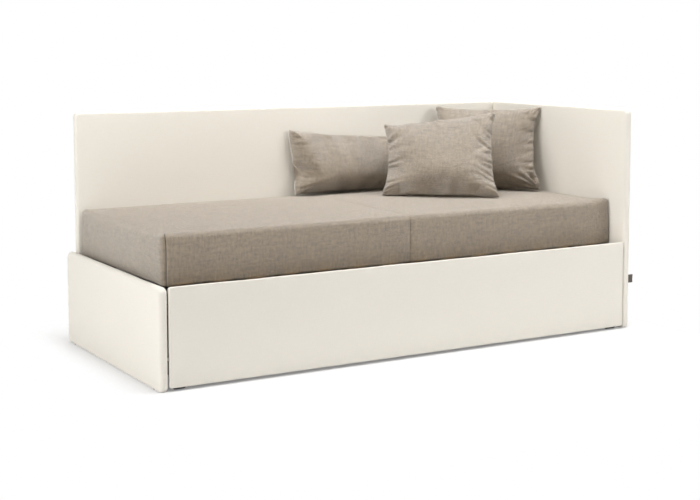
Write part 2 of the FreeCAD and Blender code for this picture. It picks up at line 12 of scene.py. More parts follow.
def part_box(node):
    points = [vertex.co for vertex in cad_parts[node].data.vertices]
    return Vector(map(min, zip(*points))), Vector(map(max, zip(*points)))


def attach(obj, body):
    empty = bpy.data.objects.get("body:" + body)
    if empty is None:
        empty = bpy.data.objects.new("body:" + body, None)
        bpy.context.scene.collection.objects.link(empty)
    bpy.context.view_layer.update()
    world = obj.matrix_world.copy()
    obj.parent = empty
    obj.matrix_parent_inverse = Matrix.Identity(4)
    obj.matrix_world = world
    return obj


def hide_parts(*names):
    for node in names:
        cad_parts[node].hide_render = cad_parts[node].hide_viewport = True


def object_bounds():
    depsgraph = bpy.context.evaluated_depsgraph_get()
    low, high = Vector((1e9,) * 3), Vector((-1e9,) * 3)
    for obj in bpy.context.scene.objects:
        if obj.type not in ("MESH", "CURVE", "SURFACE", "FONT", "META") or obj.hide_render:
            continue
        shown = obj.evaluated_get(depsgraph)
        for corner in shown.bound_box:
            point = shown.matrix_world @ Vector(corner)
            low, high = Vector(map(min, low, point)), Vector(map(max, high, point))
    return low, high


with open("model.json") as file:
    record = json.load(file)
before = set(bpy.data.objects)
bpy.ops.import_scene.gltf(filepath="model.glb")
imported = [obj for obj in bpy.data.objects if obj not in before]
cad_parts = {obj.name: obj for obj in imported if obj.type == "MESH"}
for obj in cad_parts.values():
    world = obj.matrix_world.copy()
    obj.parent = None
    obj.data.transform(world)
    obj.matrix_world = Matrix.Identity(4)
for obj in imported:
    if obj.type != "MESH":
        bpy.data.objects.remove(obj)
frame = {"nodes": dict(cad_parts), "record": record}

CAD_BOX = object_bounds()
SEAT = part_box("mattress_cover")[1].z
BACK_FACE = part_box("back_panel_cover")[0].y
HEAD_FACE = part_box("headboard_cover")[0].x
MM = 0.001

# Camera, at the photograph's angle
IMAGE_WIDTH = 700
CAMERA_PLACE = (-2.793, -4.6984, 1.1986)
CAMERA_PITCH = -5.0
CAMERA_HEADING = -30.53
CAMERA_FOCUS_PIXELS = 1366.7
CAMERA_RISE_PIXELS = -92.6
SENSOR_WIDTH = 36.0

# Studio light: place, aim, size and power of each lamp
AMBIENT = 0.06
LIGHTS = {
    "key_light": ((-4.8, -1.2, 2.2), (-0.3, 0.0, 0.45), (2.6, 2.4), 156.0),
    "top_light": ((0.32, -0.40, 3.5), (0.2, -0.1, 0.1), (3.4, 2.4), 141.0),
    "fill_light": ((3.4, -3.4, 2.6), (0.6, 0.2, 0.6), (2.4, 2.2), 102.0),
    "back_light": ((1.6, 4.6, 2.6), (0.2, 0.4, 0.5), (3.2, 2.4), 150.0),
}

# Floor: it turns plain white over a short way from the sofa bed, along X and along Y
FLOOR_WHITE = 0.88
FLOOR_GLOW = 0.2
FLOOR_HALF = 14.0
FLOOR_NEAR = 0.03
FLOOR_FAR = (0.12, 0.40)
FLOOR_PULL_OUT = 0.74

# Meshes in general
MERGE_GAP = 0.02 * MM
THIN_EDGE = 0.01 * MM
SHARP_DEGREES = 50.0
ROUND_STEPS = 8

# Panel covers: axis of the thickness, outer side, edge radii outside and inside, corner radius and droop
PANELS = {
    "foot_panel": {"thin": 0, "outer": -1, "edges": (17 * MM, 15 * MM), "corner": 24 * MM, "droop": 3.5 * MM},
    "headboard": {"thin": 0, "outer": 1, "edges": (15 * MM, 11 * MM), "corner": 24 * MM, "droop": 3.5 * MM},
    "back_panel": {"thin": 1, "outer": 1, "edges": (15 * MM, 11 * MM), "corner": 20 * MM, "droop": 3.5 * MM},
    "front_panel": {"thin": 1, "outer": -1, "edges": (4 * MM, 29 * MM), "corner": 9 * MM, "droop": 0.0},
}
PANEL_CELL = 32 * MM
PANEL_CROWN = 2.2 * MM
PANEL_INNER_CROWN = 1.4 * MM
PANEL_CROWN_REACH = 55 * MM
PANEL_UNEVEN = 0.5 * MM
PANEL_UNEVEN_LENGTH = 0.23
PANEL_TOP_WAVE = 0.8 * MM
PANEL_TOP_WAVE_LENGTH = 0.2
PANEL_TOP_REACH = 0.06
PANEL_SETTLE = 20 * MM
PANEL_SETTLE_REACH = 0.12
SEAM_DEPTH = 1.3 * MM
SEAM_WIDTH = 1.6 * MM

# Upper mattress
MATTRESS_CORNER = 24 * MM
MATTRESS_EDGE = 20 * MM
MATTRESS_EDGE_STEPS = (6, 9)
MATTRESS_ARC_STEPS = 24
MATTRESS_CELL = 20 * MM
MATTRESS_BULGE = 2 * MM
MATTRESS_SIDE_REACH = 0.07
MATTRESS_END_BULGE = 15 * MM
MATTRESS_END_SPREAD = 0.20
MATTRESS_WALL_SHARE = 0.15
MATTRESS_UNEVEN = 1.3 * MM
MATTRESS_SIDE_WAVE_LENGTH = 0.19
MATTRESS_TOP_WAVE_LENGTH = 0.24
MATTRESS_EDGE_SINK = 5 * MM
MATTRESS_SINK_REACH = 0.12
MATTRESS_TOP_REACH = 0.05
MATTRESS_HEAD_REACH = 4.5 * MM
MATTRESS_HEAD_TAPER = 7 * MM
MATTRESS_HEAD_LEAN_REACH = 0.10
MATTRESS_HEAD_EAR = 9 * MM
MATTRESS_HEAD_EAR_REACH = 0.12
MATTRESS_HEAD_CRISP = 0.65
MATTRESS_EAR = 50 * MM
MATTRESS_EAR_PULL = 0.42
MATTRESS_FIELD = 26 * MM
MATTRESS_LOW_EDGE = 10 * MM
MATTRESS_LOW_RISE = 4 * MM
MATTRESS_LOW_HEIGHT = 0.05
MATTRESS_LOW_INSET = 0.02
MATTRESS_LOW_REACH = 0.08
MATTRESS_LOW_WAVE = 1.6 * MM
MATTRESS_LOW_WAVE_LENGTH = 0.075
MIDDLE_SEAM_ASIDE = 15 * MM
MIDDLE_SEAM_DIP = 3.5 * MM
MIDDLE_SEAM_SIDE_DIP = 6 * MM
MIDDLE_SEAM_FADE = 14 * MM
MIDDLE_SEAM_GROOVE = 1.2 * MM
MIDDLE_SEAM_GROOVE_HALF = 2.5 * MM
SEAM_STEPS = (0.0, 1.5 * MM, 3.0 * MM, 5.0 * MM, 8.0 * MM, 13.0 * MM)
SEAM_CLOSEST = 1.2 * MM
CORNER_SEAM_GROOVE = 3.5 * MM
CORNER_SEAM_PLACE = 68.0
HEAD_SEAM_PLACE = 25.0
CORNER_SEAM_TURN = 12.0
# radius of the dark cord in each corner seam's groove, which paints the shade of that groove
CORNER_SEAM_SHADE_CORD = 1.3 * MM

# Pull-out mattress
PULL_OUT_EDGE = 16 * MM
PULL_OUT_EDGE_STEPS = (5, 5)
PULL_OUT_CORNER = 30 * MM
PULL_OUT_DRAW = 1.5 * MM
PULL_OUT_WAVE_LENGTH = 0.12
QUILT_FADE = 0.04
QUILT_PITCH = 97 * MM
QUILT_PUFF = 6 * MM
QUILT_STEPS = 8
TAPE_RADIUS = 5 * MM

# Pillows: seam sizes, stand, how far each side is drawn in between its corners, seam folds as count, depth,
# length and slant, and crumpled corners as depth, reach and number of folds
PILLOW_CELL = 6 * MM
PILLOW_FRAMES = 26
PILLOW_CLOTH = {
    "quality": 5, "mass": 0.15, "air_damping": 3.0, "bending_stiffness": 0.25, "tension_stiffness": 20.0,
    "compression_stiffness": 20.0, "shear_stiffness": 8.0, "tension_damping": 8.0, "compression_damping": 8.0,
    "shear_damping": 8.0, "use_pressure": True, "uniform_pressure_force": 4.5,
}
PILLOW_SHEET_GAP = 3 * MM
PILLOW_SHEET_WAVE = 1.2 * MM
PILLOW_SHEET_WAVE_LENGTH = 0.05
PILLOW_MAP_APART = 0.7
PUCKER_WAVE = 30 * MM
PUCKER_SHIFT = 1.5 * MM
PUCKER_LIFT = 3.5 * MM
FOLD_WIDTH = 4.5 * MM
FOLD_OPENING = 0.12
FOLD_RIDGE = 0.6
FOLD_SEAM_CALM = 0.65
FOLD_SEAM_REACH = 8 * MM
PINCH_BACK = 1.3
PINCH_BACK_REACH = 1.2
PINCH_PLACE = 0.02
PINCH_WIDTH = 0.025
PILLOW_DENT = 1.6 * MM
PILLOW_DENT_LENGTH = 0.085
PILLOW_CORNER_SOFT = 4 * MM
PILLOW_CORNER_REACH = 24 * MM
SEAT_CLEARANCE = 0.6 * MM
PANEL_CLEARANCE = 2.5 * MM
PILLOWS = {
    "lumbar_pillow": {
        "width": 0.569, "heights": (0.281, 0.240), "flares": (0.023, 0.005), "yaw": 0.0, "lean": 4.0,
        "from_headboard": 1.069, "from_back": 0.034, "swells": (0.092, 0.018), "spare": (1.04, 1.13),
        "sag": 0.13, "drawn": {"bottom": 0.004, "right": 0.016, "top": 0.014, "left": 0.006},
        "pinch": (0.33, 0.026, 0.11),
        "folds": {"left": (6, 5.0 * MM, 65 * MM, 0.25), "right": (6, 3.5 * MM, 40 * MM, 0.2)},
        "crumples": {(0, 1): (2.5 * MM, 50 * MM, 2), (0, 0): (2.5 * MM, 45 * MM, 2)}, "seed": 5,
    },
    "corner_pillow": {
        "width": 0.479, "heights": (0.373, 0.376), "flares": (0.017, -0.016), "yaw": -45.4, "lean": 15.0,
        "from_headboard": 0.395, "from_back": 0.094, "swells": (0.098, 0.070), "spare": (1.03, 1.15),
        "sag": 0.20, "drawn": {"bottom": 0.006, "right": 0.034, "top": 0.013, "left": 0.024},
        "folds": {"left": (7, 5.0 * MM, 40 * MM, 0.3), "right": (9, 7.0 * MM, 40 * MM, 0.35)},
        "crumples": {(1, 0): (12.0 * MM, 95 * MM, 4), (1, 1): (3.0 * MM, 50 * MM, 3),
                     (0, 1): (2.0 * MM, 50 * MM, 3)}, "seed": 11,
    },
    "front_pillow": {
        "width": 0.507, "heights": (0.325, 0.394), "flares": (0.010, -0.029), "yaw": -39.0, "lean": 28.0,
        "from_headboard": 0.770, "from_back": 0.2455, "swells": (0.092, 0.070), "spare": (1.03, 1.14),
        "sag": 0.17, "drawn": {"bottom": 0.008, "right": 0.029, "top": 0.006, "left": 0.028},
        "folds": {"left": (7, 8.0 * MM, 62 * MM, 0.35), "right": (11, 6.5 * MM, 46 * MM, 0.75)},
        "crumples": {(0, 0): (3.0 * MM, 60 * MM, 3), (1, 1): (2.0 * MM, 50 * MM, 3),
                     (0, 1): (2.0 * MM, 50 * MM, 2)}, "seed": 3,
    },
}
PIPING_RADIUS = 1.8 * MM

# Sewn tab
TAB_REACH = 28 * MM
TAB_ROOT = -1.5 * MM
TAB_BOW = 0.5 * MM
TAB_THICK = 0.6 * MM
TAB_LEVELS = 12

# Colours, linear
IVORY = (0.785, 0.746, 0.672)
TAUPE = (0.392, 0.303, 0.205)
PILLOW_TAUPE = (0.396, 0.316, 0.229)


# Node helpers
class Nodes:
    """Adds nodes to one tree and links them."""

    def __init__(self, tree):
        self.tree = tree

    def feed(self, socket, value):
        if isinstance(value, bpy.types.NodeSocket):
            self.tree.links.new(value, socket)
        else:
            socket.default_value = value

    def add(self, kind, inputs=None, **settings):
        node = self.tree.nodes.new(kind)
        for key, value in settings.items():
            setattr(node, key, value)
        for label, value in (inputs or {}).items():
            self.feed(node.inputs[label], value)
        return node

    def maths(self, operation, *values, kind="ShaderNodeMath"):
        node = self.add(kind, operation=operation)
        for socket, value in zip(node.inputs, values):
            self.feed(socket, value)
        return node.outputs["Value" if operation == "LENGTH" else 0]

    def vector_maths(self, operation, *values):
        return self.maths(operation, *values, kind="ShaderNodeVectorMath")

    def vector(self, x, y, z=0.0):
        return self.add("ShaderNodeCombineXYZ", {"X": x, "Y": y, "Z": z}).outputs[0]

    def noise(self, vector, scale=1.0, detail=2.0, roughness=0.5):
        values = {"Vector": vector, "Scale": scale, "Detail": detail, "Roughness": roughness}
        return self.add("ShaderNodeTexNoise", values).outputs[0]

    def swing(self, value, amount):
        """A value about 0.5 turned into one about zero, times an amount."""
        return self.maths("MULTIPLY", self.maths("SUBTRACT", value, 0.5), amount)

    def blend(self, share, first, second):
        node = self.add("ShaderNodeMix", data_type="RGBA", clamp_factor=True)
        for index, value in ((0, share), (6, first), (7, second)):
            self.feed(node.inputs[index], value)
        return node.outputs[2]


def shader_group(name, inputs, outputs):
    """Empty node group with named float sockets: its tree, helper, inputs and outputs."""
    tree = bpy.data.node_groups.new(name, "ShaderNodeTree")
    for label, value in inputs.items():
        socket = tree.interface.new_socket(label, in_out="INPUT", socket_type="NodeSocketFloat")
        socket.default_value = value
    for label in outputs:
        tree.interface.new_socket(label, in_out="OUTPUT", socket_type="NodeSocketFloat")
    nodes = Nodes(tree)
    return tree, nodes, nodes.add("NodeGroupInput").outputs, nodes.add("NodeGroupOutput").inputs


def fresh_nodes(owner):
    """Node helper for the emptied tree of a material or world."""
    owner.use_nodes = True
    owner.node_tree.nodes.clear()
    return Nodes(owner.node_tree)


# Shared effects
def cloth_weave_group():
    """Plain weave with thick and thin yarns, laid on the cloth's own map in metres."""
    tree, nodes, given, out = shader_group(
        "cloth weave",
        {"Yarn Width": 0.004, "Slub Length": 0.10, "Thread Pitch": 0.0012, "Slub": 0.5, "Fleck": 0.0,
         "Blotch": 0.2},
        ("Tone", "Height"))
    cloth = nodes.add("ShaderNodeUVMap", uv_map="weave").outputs[0]
    parts = nodes.add("ShaderNodeSeparateXYZ", {"Vector": cloth}).outputs
    across, along = parts["X"], parts["Y"]
    narrow_u, narrow_v = [nodes.maths("DIVIDE", way, given["Yarn Width"]) for way in (across, along)]
    long_u, long_v = [nodes.maths("DIVIDE", way, given["Slub Length"]) for way in (across, along)]
    warp = nodes.noise(nodes.vector(narrow_u, long_v), detail=1.5)
    weft = nodes.noise(nodes.vector(long_u, narrow_v, 7.3), detail=1.5)
    fleck_scale = nodes.maths("DIVIDE", 0.45, given["Yarn Width"])
    fleck = nodes.noise(cloth, scale=fleck_scale, detail=1.5)
    blotch = nodes.noise(cloth, scale=7.0, detail=3.0)
    weft_slub = nodes.maths("MULTIPLY", given["Slub"], 0.9)
    tone = 0.5
    for pattern, amount in ((warp, given["Slub"]), (weft, weft_slub), (fleck, given["Fleck"]),
                            (blotch, given["Blotch"])):
        tone = nodes.maths("ADD", tone, nodes.swing(pattern, amount))
    turn = nodes.maths("DIVIDE", 2 * math.pi, given["Thread Pitch"])
    ridges = [nodes.maths("SINE", nodes.maths("MULTIPLY", way, turn)) for way in (across, along)]
    threads = nodes.maths("MULTIPLY", *ridges)
    yarns = nodes.maths("ADD", warp, nodes.maths("MULTIPLY", weft, 0.5))
    height = nodes.maths("MULTIPLY_ADD", threads, 0.35, yarns)
    nodes.feed(out["Tone"], tone)
    nodes.feed(out["Height"], height)
    return tree


def surface_mottle_group():
    """Slow and fine unevenness of a hard finish, in object space."""
    tree, nodes, given, out = shader_group(
        "surface mottle", {"Slow Scale": 12.0, "Fine Scale": 900.0, "Slow": 0.5, "Fine": 0.5},
        ("Tone", "Height"))
    place = nodes.add("ShaderNodeTexCoord").outputs["Object"]
    slow = nodes.noise(place, scale=given["Slow Scale"], detail=4.0)
    fine = nodes.noise(place, scale=given["Fine Scale"], detail=2.0)
    tone = nodes.maths("ADD", 0.5, nodes.swing(slow, given["Slow"]))
    tone = nodes.maths("ADD", tone, nodes.swing(fine, given["Fine"]))
    nodes.feed(out["Tone"], tone)
    nodes.feed(out["Height"], fine)
    return tree


def wood_figure_group():
    """Long wood grain that runs along Y, with fine pores."""
    tree, nodes, given, out = shader_group(
        "wood figure", {"Ring Width": 0.012, "Grain Length": 0.6, "Pores": 0.3}, ("Tone", "Height"))
    place = nodes.add("ShaderNodeTexCoord").outputs["Object"]
    parts = nodes.add("ShaderNodeSeparateXYZ", {"Vector": place}).outputs
    across = nodes.maths("DIVIDE", nodes.maths("ADD", parts["X"], parts["Z"]), given["Ring Width"])
    along = nodes.maths("DIVIDE", parts["Y"], given["Grain Length"])
    rings = nodes.noise(nodes.vector(across, along), detail=4.0, roughness=0.65)
    pore_across = nodes.maths("MULTIPLY", across, 14.0)
    pores = nodes.noise(nodes.vector(pore_across, nodes.maths("MULTIPLY", along, 9.0)))
    nodes.feed(out["Tone"], nodes.maths("ADD", rings, nodes.swing(pores, given["Pores"])))
    nodes.feed(out["Height"], pores)
    return tree


CLOTH_WEAVE = cloth_weave_group()
SURFACE_MOTTLE = surface_mottle_group()
WOOD_FIGURE = wood_figure_group()


# Materials
def finish(name, effect, effect_values, dark, light, roughness, bump_depth, **constants):
    """Material whose colour, roughness and bump follow one shared effect."""
    material = bpy.data.materials.new(name)
    nodes = fresh_nodes(material)
    pattern = nodes.add("ShaderNodeGroup", node_tree=effect)
    for label, value in effect_values.items():
        pattern.inputs[label].default_value = value
    tone, height = pattern.outputs
    colour = nodes.blend(tone, (*dark, 1.0), (*light, 1.0))
    low, high = roughness
    rough = nodes.add("ShaderNodeMapRange", {"Value": tone, "To Min": low, "To Max": high})
    bump = nodes.add("ShaderNodeBump", {"Height": height, "Distance": bump_depth, "Strength": 1.0})
    looks = {"Base Color": colour, "Roughness": rough.outputs[0], "Normal": bump.outputs[0]}
    shader = nodes.add("ShaderNodeBsdfPrincipled", looks)
    for label, value in constants.items():
        shader.inputs[label.replace("_", " ")].default_value = value
    nodes.add("ShaderNodeOutputMaterial", {"Surface": shader.outputs[0]})
    return material


def shade(colour, factor):
    return tuple(min(1.0, c * factor) for c in colour)


def linen(name, colour, sheen, fleck):
    values = {"Yarn Width": 0.0062, "Slub Length": 0.05, "Thread Pitch": 0.0013, "Slub": 1.4, "Fleck": fleck,
              "Blotch": 0.2}
    return finish(name, CLOTH_WEAVE, values, shade(colour, 0.74), shade(colour, 1.28), (0.96, 0.84), 0.0018,
                  Sheen_Weight=sheen, Sheen_Roughness=0.5, Sheen_Tint=(1.0, 0.98, 0.95, 1.0),
                  Specular_IOR_Level=0.4)


def ivory_cloth():
    values = {"Yarn Width": 0.0018, "Slub Length": 0.03, "Thread Pitch": 0.0010, "Slub": 0.7, "Blotch": 0.30}
    return finish("ivory_upholstery", CLOTH_WEAVE, values, shade(IVORY, 0.965), shade(IVORY, 1.03),
                  (0.95, 0.86), 0.00025, Sheen_Weight=0.18, Sheen_Roughness=0.45,
                  Sheen_Tint=(1.0, 0.985, 0.96, 1.0), Specular_IOR_Level=0.25)


def ticking_cloth():
    values = {"Yarn Width": 0.0022, "Slub Length": 0.02, "Thread Pitch": 0.0009, "Slub": 0.6, "Blotch": 0.3}
    return finish("ticking", CLOTH_WEAVE, values, (0.47, 0.45, 0.41), (0.56, 0.54, 0.50), (0.95, 0.85),
                  0.00025, Sheen_Weight=0.2, Sheen_Roughness=0.45)


def mottled(name, mottle, *look, **constants):
    """Finish with a mottle given as its slow scale, fine scale, slow share and fine share."""
    values = dict(zip(("Slow Scale", "Fine Scale", "Slow", "Fine"), mottle))
    return finish(name, SURFACE_MOTTLE, values, *look, **constants)


def tape_cloth(name, dark, light):
    mottle = (20.0, 1400.0, 0.3, 1.2)
    return mottled(name, mottle, dark, light, (0.95, 0.85), 0.0003, Sheen_Weight=0.2)


# Hard finishes: mottle, dark and light colour, roughness of each, bump depth and metal share
HARD_FINISHES = {
    "panel_board": (
        (160.0, 600.0, 2.0, 0.6), (0.40, 0.28, 0.17), (0.66, 0.52, 0.36), (0.9, 0.75), 0.0004, 0.0),
    "mattress_filling": (
        (12.0, 700.0, 0.2, 0.8), (0.72, 0.66, 0.48), (0.84, 0.79, 0.62), (0.95, 0.85), 0.0006, 0.0),
    "frame_steel": (
        (12.0, 1500.0, 0.4, 0.3), (0.045, 0.046, 0.048), (0.075, 0.076, 0.079), (0.48, 0.36), 0.00008, 0.0),
    "zinc_steel": (
        (90.0, 1400.0, 0.9, 0.4), (0.50, 0.51, 0.53), (0.68, 0.69, 0.70), (0.46, 0.28), 0.00003, 1.0),
    "black_plastic": (
        (12.0, 2200.0, 0.4, 0.4), (0.010, 0.010, 0.011), (0.022, 0.022, 0.023), (0.62, 0.48), 0.00005, 0.0),
    "castor_rubber": (
        (60.0, 900.0, 0.8, 0.5), (0.012, 0.012, 0.012), (0.035, 0.034, 0.032), (0.9, 0.7), 0.0001, 0.0),
    "shoe_nylon": (
        (12.0, 1800.0, 0.3, 0.3), (0.66, 0.64, 0.58), (0.76, 0.74, 0.68), (0.5, 0.4), 0.00004, 0.0),
}
MATERIALS = {
    "ivory_upholstery": ivory_cloth(),
    "taupe_linen": linen("taupe_linen", TAUPE, 0.8, 1.45),
    "pillow_linen": linen("pillow_linen", PILLOW_TAUPE, 0.9, 1.1),
    "ticking": ticking_cloth(),
    "tab_fabric": tape_cloth("tab_fabric", (0.065, 0.052, 0.042), (0.12, 0.10, 0.085)),
    "slat_birch": finish("slat_birch", WOOD_FIGURE, {"Ring Width": 0.010, "Grain Length": 0.5, "Pores": 0.35},
                         (0.50, 0.33, 0.17), (0.74, 0.56, 0.35), (0.5, 0.38), 0.0001),
    "piping": tape_cloth("piping", (0.72, 0.69, 0.62), (0.84, 0.81, 0.75)),
    # dark cord colour for the mattress's corner seams: painted shade of their grooves
    "painted_seam_shade": tape_cloth("painted_seam_shade", (0.055, 0.045, 0.034), (0.10, 0.082, 0.064)),
    "mattress_tape": tape_cloth("mattress_tape", (0.36, 0.31, 0.25), (0.47, 0.42, 0.35)),
}
for slot, (*look, metal) in HARD_FINISHES.items():
    MATERIALS[slot] = mottled(slot, *look, Metallic=metal)


# Mesh helpers
def add_object(name, data):
    """New object in the scene for a mesh, lamp or camera."""
    added = bpy.data.objects.new(name, data)
    bpy.context.scene.collection.objects.link(added)
    return added


def mesh_piece(name, points, faces, slot, sharp_degrees=SHARP_DEGREES):
    """New smooth-shaded mesh object in the finish of a material slot."""
    mesh = bpy.data.meshes.new(name)
    mesh.from_pydata([tuple(p) for p in points], [], faces)
    mesh.materials.append(MATERIALS[slot])
    piece = add_object(name, mesh)
    tidy_mesh(piece, sharp_degrees)
    return piece


def block(node):
    """Middle and half size of a node's box."""
    low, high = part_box(node)
    return (low + high) / 2, (high - low) / 2


def tidy_mesh(piece, sharp_degrees):
    """Merges doubled points, turns faces outwards and smooths the shading."""
    work = bmesh.new()
    work.from_mesh(piece.data)
    bmesh.ops.remove_doubles(work, verts=work.verts, dist=MERGE_GAP)
    bmesh.ops.dissolve_degenerate(work, edges=work.edges, dist=THIN_EDGE)
    bmesh.ops.recalc_face_normals(work, faces=work.faces)
    work.to_mesh(piece.data)
    work.free()
    piece.data.polygons.foreach_set("use_smooth", [True] * len(piece.data.polygons))
    piece.data.set_sharp_from_angle(angle=math.radians(sharp_degrees))


def lay_weave(piece):
    """Cloth map in metres, laid flat on whichever way each face looks."""
    mesh = piece.data
    layer = mesh.uv_layers.new(name="weave")
    flat = {0: (1, 2), 1: (0, 2), 2: (0, 1)}
    for face in mesh.polygons:
        looks = max(range(3), key=lambda axis: abs(face.normal[axis]))
        across, along = flat[looks]
        for corner in face.loop_indices:
            place = mesh.vertices[mesh.loops[corner].vertex_index].co
            layer.data[corner].uv = (place[across], place[along])


def wavy(x, y, z, wave):
    """Smooth unevenness between about -1 and 1, with that wavelength."""
    return noise.noise(Vector((x, y, z)) / wave) * 2.0


def stops(half, cell):
    """Evenly spaced shares from -1 to 1 for a side of that half length."""
    count = max(2, round(2 * half / cell))
    return [2 * i / count - 1 for i in range(count + 1)]


def rounded_outline(half_a, half_b, corner, inset=0.0, shares_a=(), shares_b=(), arc_steps=ROUND_STEPS):
    """Points round an inset rounded rectangle, with stops along its sides."""
    bend = max(corner - inset, 0.0)
    reach = max(corner, inset)
    line = []
    for quarter in range(4):
        sign_a = 1 if quarter in (0, 3) else -1
        sign_b = 1 if quarter < 2 else -1
        for step in range(arc_steps + 1):
            angle = math.pi / 2 * (quarter + step / arc_steps)
            line.append((sign_a * (half_a - reach) + bend * math.cos(angle),
                         sign_b * (half_b - reach) + bend * math.sin(angle)))
        if quarter in (0, 2):
            side = [(s * (half_a - reach), sign_b * (half_b - inset)) for s in shares_a[1:-1]]
        else:
            side = [(sign_a * (half_a - inset), s * (half_b - reach)) for s in shares_b[1:-1]]
        line += reversed(side) if quarter < 2 else side
    return line


def band(first, second, count, closed=True):
    """Faces between two rows of that many points, which start at those indices."""
    return [(first + i, first + (i + 1) % count, second + (i + 1) % count, second + i)
            for i in range(count if closed else count - 1)]


def slab(half_a, half_b, corner, profile, shares_a, shares_b, arc_steps=ROUND_STEPS):
    """Rounded slab: outlines at a profile's (inset, height) steps, closed by two grids."""
    inner = max(inset for inset, height in profile)
    points = []
    faces = []
    previous = None
    for inset, height in profile:
        start = len(points)
        line = rounded_outline(half_a, half_b, corner, inset, shares_a, shares_b, arc_steps)
        points.extend((a, b, height) for a, b in line)
        if previous is not None:
            faces += band(previous, start, len(line))
        previous = start
    for height in (profile[0][1], profile[-1][1]):
        start = len(points)
        columns = len(shares_a)
        for s_b in shares_b:
            points.extend((s_a * (half_a - inner), s_b * (half_b - inner), height) for s_a in shares_a)
        for row in range(len(shares_b) - 1):
            first = start + row * columns
            faces += band(first, first + columns, columns, closed=False)
    return np.array(points), faces


def rim(radius, half, steps, sign):
    """Quarter-round steps of a profile from its side to a face, as (inset, height)."""
    turns = [math.pi / 2 * i / steps for i in range(steps + 1)]
    return [(radius * (1 - math.cos(t)), sign * (half - radius + radius * math.sin(t))) for t in turns]


def edge_distance(a, b, half_a, half_b):
    return min(half_a - abs(a), half_b - abs(b))


# Padded panels
def panel_profile(half, edges, corner):
    """Section of a panel from its first face round the edge to its second, which has a sewn groove."""
    inner = max(corner, edges[-1], edges[1] + 4 * SEAM_WIDTH)
    steps = ((1, 0.0), (2, SEAM_DEPTH), (3, 0.0))
    groove = [(edges[1] + step * SEAM_WIDTH, half - depth) for step, depth in steps]
    low = reversed(rim(edges[-1], half, ROUND_STEPS, -1))
    return [(inner, -half), *low, *rim(edges[1], half, ROUND_STEPS, 1), *groove, (inner, half)]


def padded_panel(name, spec):
    """Padded cover of one panel: soft rims, a slight crown on both faces and a sewn groove on one."""
    middle, half = block(name + "_cover")
    thin = spec["thin"]
    side_axis = 1 - thin
    half_a, half_b, half_c = half[side_axis], half.z, half[thin]
    edges = {spec["outer"]: spec["edges"][0], -spec["outer"]: spec["edges"][1]}
    crowns = {spec["outer"]: PANEL_CROWN, -spec["outer"]: PANEL_INNER_CROWN}
    profile = panel_profile(half_c, edges, spec["corner"])
    shares = [stops(side, PANEL_CELL) for side in (half_a, half_b)]
    points, faces = slab(half_a, half_b, spec["corner"], profile, *shares)
    placed = []
    for a, b, c in points:
        side = 1 if c > 0 else -1
        inside = max(edge_distance(a, b, half_a, half_b) - edges[side], 0.0)
        swell = crowns[side] * (1 - math.exp(-inside / PANEL_CROWN_REACH))
        swell += PANEL_UNEVEN * wavy(a, b, c, PANEL_UNEVEN_LENGTH) * min(1.0, inside / PANEL_CROWN_REACH)
        spot = Vector((0, 0, b))
        spot[side_axis] = a
        spot[thin] = c + (side * swell if inside > 0 else 0.0)
        if spec["droop"]:
            rise = b + half_b
            settled = spec["droop"] + PANEL_SETTLE * rise / (rise + PANEL_SETTLE)
            spot.z -= settled * (1 - ease(rise / PANEL_SETTLE_REACH))
        near_top = ease(1 - (half_b - b) / PANEL_TOP_REACH)
        spot.z += PANEL_TOP_WAVE * wavy(a, thin, 1.0, PANEL_TOP_WAVE_LENGTH) * near_top
        placed.append(middle + spot)
    piece = mesh_piece(name, placed, faces, "ivory_upholstery")
    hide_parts(name + "_cover")
    return piece


def cut_boxes(piece, boxes):
    """Cuts boxes, as pairs of corners, out of a piece."""
    for low, high in boxes:
        middle = [(a + b) / 2 for a, b in zip(low, high)]
        size = [b - a for a, b in zip(low, high)]
        work = bmesh.new()
        shape = Matrix.Translation(middle) @ Matrix.Diagonal((*size, 1.0))
        bmesh.ops.create_cube(work, size=1.0, matrix=shape)
        mesh = bpy.data.meshes.new("cutter")
        work.to_mesh(mesh)
        work.free()
        cutter = add_object("cutter", mesh)
        cut = piece.modifiers.new("notch", "BOOLEAN")
        cut.operation = "DIFFERENCE"
        cut.object = cutter
        bake_modifiers(piece)
        bpy.data.objects.remove(cutter)


def bake_modifiers(piece):
    """Turns the piece's modifiers into its own mesh."""
    graph = bpy.context.evaluated_depsgraph_get()
    mesh = bpy.data.meshes.new_from_object(piece.evaluated_get(graph))
    piece.modifiers.clear()
    old = piece.data
    piece.data = mesh
    mesh.name = piece.name
    bpy.data.meshes.remove(old)


def castor_notches():
    """Room for the front castors in the front panel, a little smaller than in its board."""
    skin = 1 * MM
    side = 5 * MM
    above = 3 * MM
    past = 0.05
    cover_low, cover_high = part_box("front_panel_cover")
    board_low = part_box("front_panel_board")[0]
    boxes = []
    for end in ("foot", "head"):
        low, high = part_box(f"front_{end}_castor_bracket")
        boxes.append(((low.x - side, board_low.y + skin, cover_low.z - past),
                      (high.x + side, cover_high.y + past, high.z + above)))
    return boxes


def make_panels():
    for name, spec in PANELS.items():
        piece = padded_panel(name, spec)
        if name == "front_panel":
            cut_boxes(piece, castor_notches())
            tidy_mesh(piece, SHARP_DEGREES)
        lay_weave(piece)
        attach(piece, "pull_out_bed" if name == "front_panel" else "sofa_frame")


# Upper mattress
def seam_shares(half, cell, place):
    """Even shares along a side, with finer steps about a seam's place."""
    shares = set(round(s, 6) for s in stops(half, cell))
    for step in SEAM_STEPS:
        shares |= {round((place - step) / half, 6), round((place + step) / half, 6)}
    kept = []
    for share in sorted(shares):
        if -1 <= share <= 1 and (not kept or (share - kept[-1]) * half > SEAM_CLOSEST):
            kept.append(share)
    return kept


def bell(distance, reach):
    return math.exp(-((distance / reach) ** 2))


def ease(share):
    share = min(1.0, max(0.0, share))
    return share * share * (3 - 2 * share)


